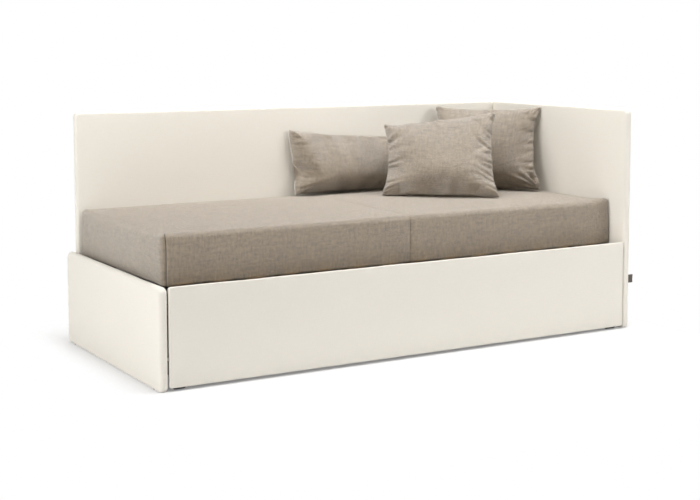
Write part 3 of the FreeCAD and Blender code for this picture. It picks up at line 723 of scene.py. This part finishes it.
def corner_direction(a, b):
    """Way out from the mattress at the seam of the corner that a point is nearest to."""
    turn = math.radians(corner_seam_place(a))
    return Vector((math.copysign(math.cos(turn), a), math.copysign(math.sin(turn), b), 0))


def corner_seam_place(a):
    """Angle of a corner seam from the mattress's length, at its foot or head end."""
    return CORNER_SEAM_PLACE if a < 0 else HEAD_SEAM_PLACE


def mattress_point(a, b, c, half):
    """Where a point of the plain block goes on the stuffed, sewn mattress."""
    inside = edge_distance(a, b, half.x, half.y)
    spot = Vector((a, b, c))
    near_side = 1 - ease(inside / MATTRESS_SIDE_REACH)
    over_x = half.x - abs(a) < half.y - abs(b)
    outward = Vector((math.copysign(1, a), 0, 0)) if over_x else Vector((0, math.copysign(1, b), 0))
    height_share = c / half.z
    # sides bulge a little at mid height, and the cover is not quite even
    fullness = 1 - height_share ** 2
    bulge = MATTRESS_BULGE * fullness + MATTRESS_UNEVEN * wavy(a, b, c, MATTRESS_SIDE_WAVE_LENGTH)
    if over_x:
        bulge += MATTRESS_END_BULGE * fullness * (1 - ease(1 - (half.y - abs(b)) / MATTRESS_END_SPREAD))
    # it lies flat against the headboard and the back panel
    if max(outward) > 0:
        bulge *= MATTRESS_WALL_SHARE
    spot += outward * bulge * near_side
    # the top sinks towards its edges
    if c > 0:
        spot.z -= MATTRESS_EDGE_SINK * (1 - ease(inside / MATTRESS_SINK_REACH)) * ease(2 * height_share - 1)
        wave = wavy(a, b, 3.0, MATTRESS_TOP_WAVE_LENGTH) - 1.0
        spot.z += MATTRESS_UNEVEN * wave * ease(inside / MATTRESS_TOP_REACH)
    # the lower edge is drawn up under the sides, a little unevenly
    low_share = ease(1 - (c + half.z) / MATTRESS_LOW_HEIGHT)
    low_share *= 1 - ease((inside - MATTRESS_LOW_INSET) / MATTRESS_LOW_REACH)
    wave = wavy(a, b, 5.0, MATTRESS_LOW_WAVE_LENGTH)
    spot.z += (MATTRESS_LOW_RISE + MATTRESS_LOW_WAVE * wave) * low_share
    # middle seam, sunk between the two halves of the cover
    if not over_x:
        aside = abs(a - MIDDLE_SEAM_ASIDE)
        on_top = ease(inside / MATTRESS_EDGE) if c > 0 else 0.0
        inward = (-outward).lerp(Vector((0, 0, -1)), on_top)
        depth = MIDDLE_SEAM_SIDE_DIP + (MIDDLE_SEAM_DIP - MIDDLE_SEAM_SIDE_DIP) * on_top
        dip = depth * math.exp(-aside / MIDDLE_SEAM_FADE)
        spot += inward * (dip + MIDDLE_SEAM_GROOVE * bell(aside, MIDDLE_SEAM_GROOVE_HALF))
    # the headboard end leans back from its lower edge, with a crisp front corner that stands up a little
    tip = Vector((math.copysign(half.x, a), math.copysign(half.y, b), half.z))
    gap = (tip - Vector((a, b, c))).length
    if a > 0:
        lean = MATTRESS_HEAD_REACH - MATTRESS_HEAD_TAPER * ease((c + half.z * 0.6) / (1.6 * half.z))
        spot.x += lean * (1 - ease((half.x - a) / MATTRESS_HEAD_LEAN_REACH))
        if b < 0:
            spot.z += MATTRESS_HEAD_EAR * max(0.0, 1 - gap / MATTRESS_HEAD_EAR_REACH) ** 1.5
            beside = math.hypot(tip.x - a, tip.y - b)
            crisp = MATTRESS_HEAD_CRISP * max(0.0, 1 - beside / MATTRESS_CORNER)
            spot += Vector((tip.x - a, tip.y - b, 0)) * crisp
    # upright corner seams, and a small ear where each one ends at the top
    arc_a = abs(a) - (half.x - MATTRESS_CORNER)
    arc_b = abs(b) - (half.y - MATTRESS_CORNER)
    if arc_a > 0 and arc_b > 0:
        turn = math.degrees(math.atan2(arc_b, arc_a)) - corner_seam_place(a)
        spot -= corner_direction(a, b) * CORNER_SEAM_GROOVE * bell(turn, CORNER_SEAM_TURN)
    if gap < MATTRESS_EAR:
        spot += (tip - spot) * MATTRESS_EAR_PULL * (1 - gap / MATTRESS_EAR) ** 1.3
    return spot


def block_profile(half, field, edges, steps, rise=8):
    """Section of a mattress from its lower face up its side to its upper face."""
    low_edge, high_edge = edges
    side = 2 * half - low_edge - high_edge
    wall = [(0.0, -half + low_edge + side * i / rise) for i in range(1, rise)]
    low = reversed(rim(low_edge, half, steps[0], -1))
    return [(field, -half), *low, *wall, *rim(high_edge, half, steps[1], 1), (field, half)]


def make_mattress():
    middle, half = block("mattress_cover")
    profile = block_profile(half.z, MATTRESS_FIELD, (MATTRESS_LOW_EDGE, MATTRESS_EDGE), MATTRESS_EDGE_STEPS)
    shares_a = seam_shares(half.x - MATTRESS_FIELD, MATTRESS_CELL, MIDDLE_SEAM_ASIDE)
    shares_b = stops(half.y - MATTRESS_FIELD, MATTRESS_CELL)
    points, faces = slab(half.x, half.y, MATTRESS_CORNER, profile, shares_a, shares_b, MATTRESS_ARC_STEPS)
    placed = [middle + mattress_point(a, b, c, half) for a, b, c in points]
    piece = mesh_piece("mattress", placed, faces, "taupe_linen", 80.0)
    lay_weave(piece)
    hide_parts("mattress_cover", "mattress_core")
    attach(piece, "sofa_frame")
    # dark cords in the four corner seams paint the shade of their grooves
    for end, sign_a in (("foot", -1), ("head", 1)):
        for side, sign_b in (("front", -1), ("rear", 1)):
            mattress_seam_shade_cord(f"mattress_{side}_{end}_seam", middle, half, sign_a, sign_b, profile)


def mattress_seam_shade_cord(name, middle, half, sign_a, sign_b, profile):
    """Dark cord in the groove of one upright corner, up to the ear at its top: painted shade of the groove.
    """
    path = []
    outward = corner_direction(sign_a, sign_b)
    for inset, height in profile:
        bend = MATTRESS_CORNER - inset
        if bend > 0.2 * MATTRESS_CORNER:
            a = sign_a * (half.x - MATTRESS_CORNER) + bend * outward.x
            b = sign_b * (half.y - MATTRESS_CORNER) + bend * outward.y
            path.append(middle + mattress_point(a, b, height, half))
    seam_shade = cord_piece(name, path, CORNER_SEAM_SHADE_CORD, "painted_seam_shade")
    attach(seam_shade, "sofa_frame")


# Pull-out mattress
def quilted_height(a, b, half):
    """Height of the quilting: sunk on the stitch lines, level in the middle of each square."""
    u = abs(math.sin(math.pi * a / QUILT_PITCH))
    v = abs(math.sin(math.pi * b / QUILT_PITCH))
    fade = ease(edge_distance(a, b, half.x, half.y) / QUILT_FADE)
    return -QUILT_PUFF * (1 - (u * v) ** 0.35) * fade


def quilt_shares(reach):
    """Shares along a side of that half length, with steps on every stitch line."""
    cell = QUILT_PITCH / QUILT_STEPS
    last = int(reach / cell)
    inner = [i * cell / reach for i in range(-last, last + 1)]
    return [-1.0, *(share for share in inner if abs(share) < 0.998), 1.0]


def make_pull_out_mattress():
    node = "pull_out_mattress_cover"
    middle, half = block(node)
    edge = PULL_OUT_EDGE
    corner = PULL_OUT_CORNER
    profile = block_profile(half.z, corner, (edge, edge), PULL_OUT_EDGE_STEPS)
    shares = [quilt_shares(side - corner) for side in (half.x, half.y)]
    points, faces = slab(half.x, half.y, corner, profile, *shares)
    placed = []
    for a, b, c in points:
        spot = Vector((a, b, c))
        if edge_distance(a, b, half.x, half.y) > edge * 0.9:
            spot.z += math.copysign(1, c) * quilted_height(a, b, half)
        else:
            draw = PULL_OUT_DRAW * (1 + wavy(a, b, c, PULL_OUT_WAVE_LENGTH))
            axis = 0 if half.x - abs(a) < half.y - abs(b) else 1
            spot[axis] -= math.copysign(draw, spot[axis])
        placed.append(middle + spot)
    piece = mesh_piece("pull_out_mattress", placed, faces, "ticking", 60.0)
    lay_weave(piece)
    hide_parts(node, "pull_out_mattress_core")
    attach(piece, "pull_out_bed")
    for level, sign in (("top", 1), ("bottom", -1)):
        inset = edge * 0.3
        line = rounded_outline(half.x - inset, half.y - inset, corner - inset)
        path = [middle + Vector((a, b, sign * (half.z - inset))) for a, b in line]
        tape = cord_piece(f"pull_out_mattress_{level}_tape", path, TAPE_RADIUS, "mattress_tape", closed=True)
        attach(tape, "pull_out_bed")


def cord_piece(name, path, radius, slot, closed=False, sides=10):
    """Round sewn cord along a path, as a mesh."""
    points = []
    faces = []
    count = len(path)
    up = Vector((0, 0, 1))
    for index, place in enumerate(path):
        before = path[index - 1] if index or closed else place
        after = path[(index + 1) % count] if index < count - 1 or closed else place
        along = (after - before).normalized()
        side = along.cross(up if abs(along.z) < 0.9 else Vector((0, 1, 0))).normalized()
        top = side.cross(along)
        for turn in range(sides):
            angle = 2 * math.pi * turn / sides
            points.append(place + (side * math.cos(angle) + top * math.sin(angle)) * radius)
    for index in range(count if closed else count - 1):
        faces += band(index * sides, (index + 1) % count * sides, sides)
    if not closed:
        faces.append(tuple(range(sides)))
        faces.append(tuple((count - 1) * sides + turn for turn in range(sides)))
    return mesh_piece(name, points, faces, slot)


# Pillows
def seam_corner_place(spec, u, v):
    """Place in the pillow's plane between its four seam corners."""
    left_height, right_height = spec["heights"]
    left_flare, right_flare = spec["flares"]
    low = Vector((spec["width"] * u, 0.0))
    high = Vector((-left_flare, left_height)).lerp(Vector((spec["width"] + right_flare, right_height)), u)
    return low.lerp(high, v)


def drawn_in(spec, side, share):
    """How far a side's seam is drawn in at a share of its length."""
    depth = spec["drawn"][side] * (1 - abs(2 * share - 1) ** 2.6)
    if side == "left" and "pinch" in spec:
        place, pinch, reach = spec["pinch"]
        depth += pinch * bell(share - place, reach)
    return depth


def sheet_place(spec, u, v):
    """Place of a sheet point in the pillow's plane before filling."""
    flat = seam_corner_place(spec, u, v)
    flat.x += drawn_in(spec, "left", v) * (1 - u) - drawn_in(spec, "right", v) * u
    flat.y += drawn_in(spec, "bottom", u) * (1 - v) - drawn_in(spec, "top", u) * v
    tip = Vector((spec["width"] * min(u, 1 - u), max(spec["heights"]) * min(v, 1 - v)))
    to_middle = (seam_corner_place(spec, 0.5, 0.5) - flat).normalized()
    return flat + to_middle * PILLOW_CORNER_SOFT * bell(tip.length, PILLOW_CORNER_REACH)


def cut_place(spec, u, v):
    """Place of the same point on the cloth as cut, before it was drawn together at the seams."""
    middle = seam_corner_place(spec, 0.5, 0.5)
    away = seam_corner_place(spec, u, v) - middle
    return middle + Vector((away.x * spec["spare"][0], away.y * spec["spare"][1]))


def pucker(spec, u, v):
    """Small waves of the gathered end seams, in the pillow's plane and out of it."""
    along = v * max(spec["heights"])
    fade = math.sin(math.pi * v)
    shift = PUCKER_SHIFT * wavy(along, u * 3.0, spec["yaw"], PUCKER_WAVE) * fade
    lift = PUCKER_LIFT * wavy(along, u * 3.0 + 9.0, spec["yaw"], PUCKER_WAVE) * fade
    return shift, lift


def sewn_sheets(spec):
    """Two sheets that share their rim: each point's shares and side, and the faces with their cloth map."""
    columns = round(spec["width"] / PILLOW_CELL)
    rows = round(max(spec["heights"]) / PILLOW_CELL)
    lookup = {}
    places = []
    faces = []
    cloth_map = []
    for sheet in (1, -1):
        for row in range(rows):
            for column in range(columns):
                corners = [(column, row), (column + 1, row), (column + 1, row + 1), (column, row + 1)]
                face = []
                for i, j in corners if sheet > 0 else reversed(corners):
                    on_rim = i in (0, columns) or j in (0, rows)
                    key = (0 if on_rim else sheet, i, j)
                    if key not in lookup:
                        lookup[key] = len(places)
                        places.append((i / columns, j / rows, key[0]))
                    face.append(lookup[key])
                    flat = cut_place(spec, i / columns, j / rows)
                    cloth_map.append((flat.x + (PILLOW_MAP_APART if sheet < 0 else 0.0), flat.y))
                faces.append(face)
    return places, faces, cloth_map


def start_points(spec, places):
    """Sheets laid flat inside their sewn rim, a little apart, with the end seams gathered."""
    points = []
    for u, v, sheet in places:
        flat = sheet_place(spec, u, v)
        wave = wavy(flat.x, flat.y, sheet * 2.0, PILLOW_SHEET_WAVE_LENGTH)
        lift = sheet * (PILLOW_SHEET_GAP + PILLOW_SHEET_WAVE * wave)
        if sheet == 0 and u in (0.0, 1.0):
            shift, lift = pucker(spec, u, v)
            flat.x += shift
        points.append((flat.x, flat.y, lift))
    return points


def inflate(piece, spec, places):
    """Fills the sheets by a cloth simulation inside the sewn rim, and returns the filled points."""
    piece.shape_key_add(name="drawn")
    cut = piece.shape_key_add(name="cut")
    for point, (u, v, sheet) in zip(cut.data, places):
        point.co = (*cut_place(spec, u, v), sheet * MM)
    sewn = piece.vertex_groups.new(name="rim")
    sewn.add([index for index, place in enumerate(places) if place[2] == 0], 1.0, "REPLACE")
    modifier = piece.modifiers.new("filling", "CLOTH")
    cloth = modifier.settings
    for setting, value in PILLOW_CLOTH.items():
        setattr(cloth, setting, value)
    cloth.effector_weights.gravity = 0.0
    cloth.vertex_group_mass = "rim"
    cloth.rest_shape_key = cut
    modifier.collision_settings.use_collision = False
    modifier.collision_settings.use_self_collision = False
    modifier.point_cache.frame_start = 1
    modifier.point_cache.frame_end = PILLOW_FRAMES
    scene = bpy.context.scene
    for step in range(1, PILLOW_FRAMES + 1):
        scene.frame_set(step)
    graph = bpy.context.evaluated_depsgraph_get()
    filled = piece.evaluated_get(graph).to_mesh()
    points = [tuple(v.co) for v in filled.vertices]
    piece.evaluated_get(graph).to_mesh_clear()
    piece.modifiers.clear()
    piece.vertex_groups.clear()
    piece.shape_key_clear()
    scene.frame_set(1)
    return points


def pillow_frame(spec):
    """Origin and directions of a pillow's seam: along its width, up its height and out of its front."""
    turn = math.radians(spec["yaw"])
    tilt = math.radians(spec["lean"])
    along = Vector((math.cos(turn), math.sin(turn), 0))
    backward = Vector((-math.sin(turn), math.cos(turn), 0))
    rise = Vector((0, 0, math.cos(tilt))) + backward * math.sin(tilt)
    origin = Vector((HEAD_FACE - spec["from_headboard"], BACK_FACE - spec["from_back"], SEAT))
    return origin, along, rise, along.cross(rise)


def held(place):
    """Keeps a point of a pillow above the seat and in front of the panels."""
    place.z = max(place.z, SEAT + SEAT_CLEARANCE)
    place.y = min(place.y, BACK_FACE - PANEL_CLEARANCE)
    place.x = min(place.x, HEAD_FACE - PANEL_CLEARANCE)
    return place


def stand_pillow(points, places, spec):
    """Stands the filled sheets in place, fuller below and flat against what carries them."""
    origin, along, rise, forward = pillow_frame(spec)
    front_swell, back_swell = spec["swells"]
    inner = [point[2] for point, place in zip(points, places) if place[2]]
    scale = {1: front_swell / max(inner), -1: back_swell / -min(inner), 0: 1.0}
    fall = spec["sag"] * max(spec["heights"])
    stood = []
    for (x, y, depth), (u, v, sheet) in zip(points, places):
        swell = depth * scale[sheet]
        sag = fall * math.sin(math.pi * v) * abs(swell) / front_swell
        if sheet < 0 and "pinch" in spec:
            share, pinch, reach = spec["pinch"]
            beside = bell(u * spec["width"] - PINCH_PLACE, PINCH_WIDTH)
            x -= PINCH_BACK * pinch * bell(v - share, PINCH_BACK_REACH * reach) * beside
        stood.append(held(origin + along * x + rise * (y - sag) + forward * swell))
    return stood


def seam_folds(spec):
    """Folds gathered into the end seams: end, share of the seam, depth, length, spread and slant of each."""
    chance = random.Random(spec["seed"])
    folds = []
    for end, (count, depth, length, slant) in spec["folds"].items():
        for index in range(count):
            share = (index + 0.5 + chance.uniform(-0.3, 0.3)) / count
            folds.append((end, share, depth * chance.uniform(0.5, 1.2), length * chance.uniform(0.6, 1.35),
                          chance.uniform(0.8, 1.25), slant * chance.uniform(0.5, 1.3)))
    return folds


def fold_depths(spec, u, v):
    """How far the folds of the end seams and the crumpled corners draw each point in."""
    width = spec["width"]
    height = max(spec["heights"])
    depths = np.zeros(len(u))
    for end, share, depth, length, spread, slant in seam_folds(spec):
        away = width * (u if end == "left" else 1 - u)
        half = spread * (FOLD_WIDTH + FOLD_OPENING * away)
        across = height * (v - share) - slant * away
        valley = np.exp(-(across / half) ** 2)
        ridge = np.exp(-((across - 1.9 * half) / (1.2 * half)) ** 2)
        fade = np.exp(-(away / length) ** 1.6)
        fade *= 1 - FOLD_SEAM_CALM * np.exp(-(away / FOLD_SEAM_REACH) ** 2)
        depths += depth * (valley - FOLD_RIDGE * ridge) * fade
    for (corner_u, corner_v), (depth, reach, count) in spec["crumples"].items():
        across = width * np.abs(u - corner_u)
        along = height * np.abs(v - corner_v)
        away = np.hypot(across, along)
        turn = np.arctan2(along, across)
        fade = np.exp(-(away / reach) ** 2) * (1 - np.exp(-(away / (0.3 * reach)) ** 2))
        depths += depth * np.cos(4 * count * turn + spec["seed"]) * fade
    return depths


def read_values(items, key, width, kind=float):
    """One property of a mesh's points or face corners, as rows."""
    values = np.empty(width * len(items), dtype=kind)
    items.foreach_get(key, values)
    return values.reshape(-1, width)


def gather_seams(piece, spec):
    """Draws the cover into folds at its end seams and corners, and dents it a little."""
    mesh = piece.data
    layer = mesh.uv_layers["shares"]
    shares = np.empty((len(mesh.vertices), 2))
    shares[read_values(mesh.loops, "vertex_index", 1, int)[:, 0]] = read_values(layer.data, "uv", 2)
    depths = fold_depths(spec, shares[:, 0], shares[:, 1])
    points = read_values(mesh.vertices, "co", 3)
    normals = read_values(mesh.vertices, "normal", 3)
    drawn = []
    for point, normal, depth in zip(points, normals, depths):
        depth += PILLOW_DENT * wavy(*point, PILLOW_DENT_LENGTH)
        drawn.extend(held(Vector(point - normal * depth)))
    mesh.vertices.foreach_set("co", drawn)
    mesh.uv_layers.remove(layer)
    mesh.update()


def make_pillow(name, spec):
    """One sewn pillow, filled by simulation and stood in its place; gives back its end seams."""
    places, faces, cloth_map = sewn_sheets(spec)
    points = start_points(spec, places)
    mesh = bpy.data.meshes.new(name)
    mesh.from_pydata(points, [], faces)
    share_map = [places[index][:2] for face in faces for index in face]
    for label, corners in (("weave", cloth_map), ("shares", share_map)):
        values = [value for corner in corners for value in corner]
        mesh.uv_layers.new(name=label).data.foreach_set("uv", values)
    mesh.materials.append(MATERIALS["pillow_linen"])
    mesh.polygons.foreach_set("use_smooth", [True] * len(mesh.polygons))
    piece = add_object(name + "_piece", mesh)
    filled = inflate(piece, spec, places)
    stood = stand_pillow(filled, places, spec)
    mesh.vertices.foreach_set("co", [x for place in stood for x in place])
    mesh.update()
    smooth = piece.modifiers.new("smooth", "SUBSURF")
    smooth.levels = 1
    smooth.render_levels = 1
    smooth.uv_smooth = "NONE"
    bake_modifiers(piece)
    gather_seams(piece, spec)
    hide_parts(name)
    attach(piece, name + "_body")
    upwards = sorted(enumerate(places), key=lambda item: item[1][1])
    ends = {"left": 0.0, "right": 1.0}
    return {end: [stood[i] for i, place in upwards if place[0] == u] for end, u in ends.items()}


def make_pillows():
    for name, spec in PILLOWS.items():
        ends = make_pillow(name, spec)
        if name == "lumbar_pillow":
            for end, path in ends.items():
                piping = cord_piece(f"lumbar_{end}_piping", path, PIPING_RADIUS, "piping")
                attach(piping, name + "_body")


# Sewn tab
def make_tab():
    """Folded strip of plain tape, caught in the seam of the headboard's outer face."""
    low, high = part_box("label_tab")
    reach = TAB_REACH
    middle = (low.y + high.y) / 2
    half_gap = (high.y - low.y) / 2 - 0.4 * MM
    line = [(TAB_ROOT, -half_gap * 0.4), (reach * 0.3, -half_gap), (reach * 0.7, -half_gap)]
    for step in range(ROUND_STEPS + 1):
        angle = math.pi * (step / ROUND_STEPS - 0.5)
        line.append((reach - half_gap + half_gap * math.cos(angle), half_gap * math.sin(angle)))
    line += [(reach * 0.7, half_gap), (reach * 0.3, half_gap), (TAB_ROOT, half_gap * 0.4)]
    points = []
    faces = []
    for level in range(TAB_LEVELS + 1):
        share = level / TAB_LEVELS
        z = low.z + (high.z - low.z) * share
        bow = TAB_BOW * math.sin(math.pi * share * 1.5)
        points += [Vector((low.x + x, middle + y + bow * max(x, 0) / reach, z)) for x, y in line]
    count = len(line)
    for level in range(TAB_LEVELS):
        faces += band(level * count, (level + 1) * count, count, closed=False)
    tab = mesh_piece("headboard_tab", points, faces, "tab_fabric", 60.0)
    tab.modifiers.new("tape", "SOLIDIFY").thickness = TAB_THICK
    bake_modifiers(tab)
    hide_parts("label_tab")
    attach(tab, "sofa_frame")


# Frame, slats, castors and fasteners keep their shape and take their finish
def finish_frame():
    for part in frame["record"]["subparts"]:
        node = frame["nodes"][part["node"]]
        node.data.materials.clear()
        node.data.materials.append(MATERIALS[part["material_slot"]])


# Stage
def area_light(name, place, aim, size, power):
    lamp = bpy.data.lights.new(name, "AREA")
    lamp.shape = "RECTANGLE"
    lamp.size, lamp.size_y = size
    lamp.energy = power
    light = add_object(name, lamp)
    light.location = place
    light.rotation_euler = (Vector(aim) - Vector(place)).to_track_quat("-Z", "Y").to_euler()


def shown_rays(nodes):
    """One for camera, glossy and transmission rays."""
    path = nodes.add("ShaderNodeLightPath").outputs
    seen = nodes.maths("MAXIMUM", path["Is Camera Ray"], path["Is Glossy Ray"])
    return nodes.maths("MAXIMUM", seen, path["Is Transmission Ray"])


def make_world():
    """White surround for the eye, softer as a light."""
    world = bpy.data.worlds.new("studio")
    nodes = fresh_nodes(world)
    strength = nodes.add("ShaderNodeMapRange", {"Value": shown_rays(nodes), "To Min": AMBIENT, "To Max": 1.0})
    sky = nodes.add("ShaderNodeBackground", {"Color": (1.0, 1.0, 1.0, 1.0), "Strength": strength.outputs[0]})
    nodes.add("ShaderNodeOutputWorld", {"Surface": sky.outputs[0]})
    bpy.context.scene.world = world


def make_floor():
    """Plain pale floor that turns plain white some way from the sofa bed, pulled out or not."""
    mesh = bpy.data.meshes.new("floor")
    corners = [(a * FLOOR_HALF, b * FLOOR_HALF, 0) for a, b in ((-1, -1), (1, -1), (1, 1), (-1, 1))]
    mesh.from_pydata(corners, [], [(0, 1, 2, 3)])
    material = bpy.data.materials.new("floor")
    nodes = fresh_nodes(material)
    matte = nodes.add("ShaderNodeBsdfDiffuse", {"Color": (FLOOR_WHITE, FLOOR_WHITE, FLOOR_WHITE, 1.0)})
    white = nodes.add("ShaderNodeEmission", {"Color": (1.0, 1.0, 1.0, 1.0), "Strength": 1.0})
    place = nodes.add("ShaderNodeTexCoord").outputs["Object"]
    low = CAD_BOX[0] - Vector((0, FLOOR_PULL_OUT, 0))
    middle = (low + CAD_BOX[1]) / 2
    footprint = (CAD_BOX[1] - low) / 2
    apart = nodes.vector_maths("SUBTRACT", place, middle)
    apart = nodes.vector_maths("ABSOLUTE", nodes.vector_maths("MULTIPLY", apart, (1, 1, 0)))
    apart = nodes.vector_maths("SUBTRACT", apart, (footprint.x, footprint.y, 0))
    apart = nodes.vector_maths("MAXIMUM", apart, (0, 0, 0))
    away = nodes.vector_maths("LENGTH", nodes.vector_maths("DIVIDE", apart, (*FLOOR_FAR, 1.0)))
    far = nodes.add("ShaderNodeMapRange", {"Value": away, "From Min": FLOOR_NEAR, "From Max": 1.0},
                    interpolation_type="SMOOTHSTEP").outputs[0]
    glow = nodes.maths("MULTIPLY_ADD", far, 1.0 - FLOOR_GLOW, FLOOR_GLOW)
    share = nodes.maths("MULTIPLY", glow, shown_rays(nodes))
    surface = nodes.add("ShaderNodeMixShader", {0: share, 1: matte.outputs[0], 2: white.outputs[0]})
    nodes.add("ShaderNodeOutputMaterial", {"Surface": surface.outputs[0]})
    mesh.materials.append(material)
    floor = add_object("floor", mesh)


def make_camera():
    lens = bpy.data.cameras.new("camera")
    lens.sensor_width = SENSOR_WIDTH
    lens.lens = CAMERA_FOCUS_PIXELS * SENSOR_WIDTH / IMAGE_WIDTH
    lens.shift_y = CAMERA_RISE_PIXELS / IMAGE_WIDTH
    camera = add_object("camera", lens)
    camera.location = CAMERA_PLACE
    camera.rotation_euler = (math.radians(90 + CAMERA_PITCH), 0, math.radians(CAMERA_HEADING))
    bpy.context.scene.camera = camera


def make_stage():
    make_world()
    make_floor()
    for name, light in LIGHTS.items():
        area_light(name, *light)
    make_camera()
    bpy.context.scene.view_settings.view_transform = "Standard"


finish_frame()
make_panels()
make_mattress()
make_pull_out_mattress()
make_pillows()
make_tab()
make_stage()
